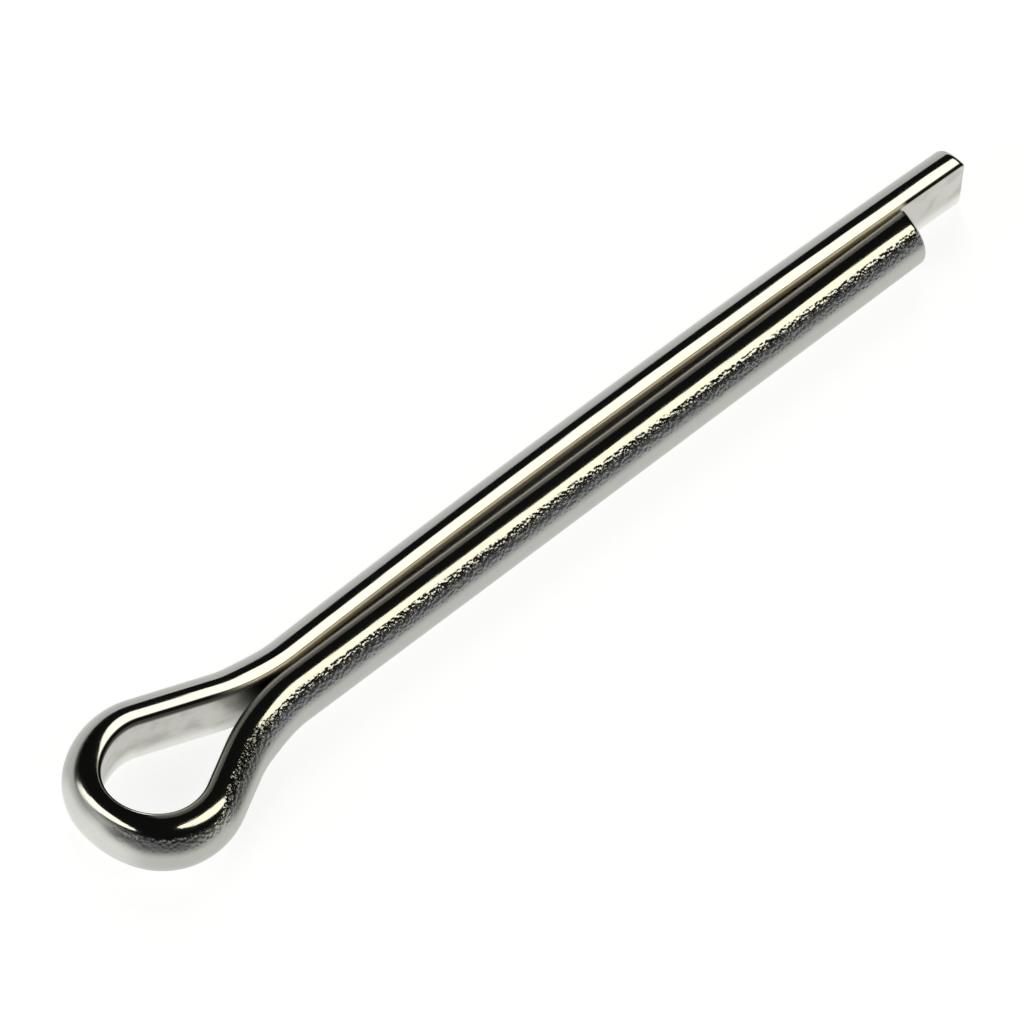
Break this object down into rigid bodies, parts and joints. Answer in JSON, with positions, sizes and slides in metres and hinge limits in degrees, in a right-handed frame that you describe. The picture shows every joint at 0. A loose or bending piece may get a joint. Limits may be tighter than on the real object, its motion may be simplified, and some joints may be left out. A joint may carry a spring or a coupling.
{
  "type": "cotter pin",
  "caption": "Cotter pin folded from half-round wire, with a drop-shaped eye, a straight round shank and square-cut ends; the longer leg gives a grip for bending the legs apart.",
  "frame": {"origin": "on the shank's axis, midway between the legs' flat faces, where both legs have become straight past the eye", "axes": "+X along the shank from the eye towards the ends of the legs, +Y from the short leg towards the long leg, +Z along the eye's axis; the pin lies on its side with Z upright"},
  "size_m": [0.051, 0.0082, 0.0036],
  "materials": {
    "zinc_plated_steel": "polished"
  },
  "bodies": {
    "root": {"cotter_pin": "zinc_plated_steel"}
  },
  "joints": []
}
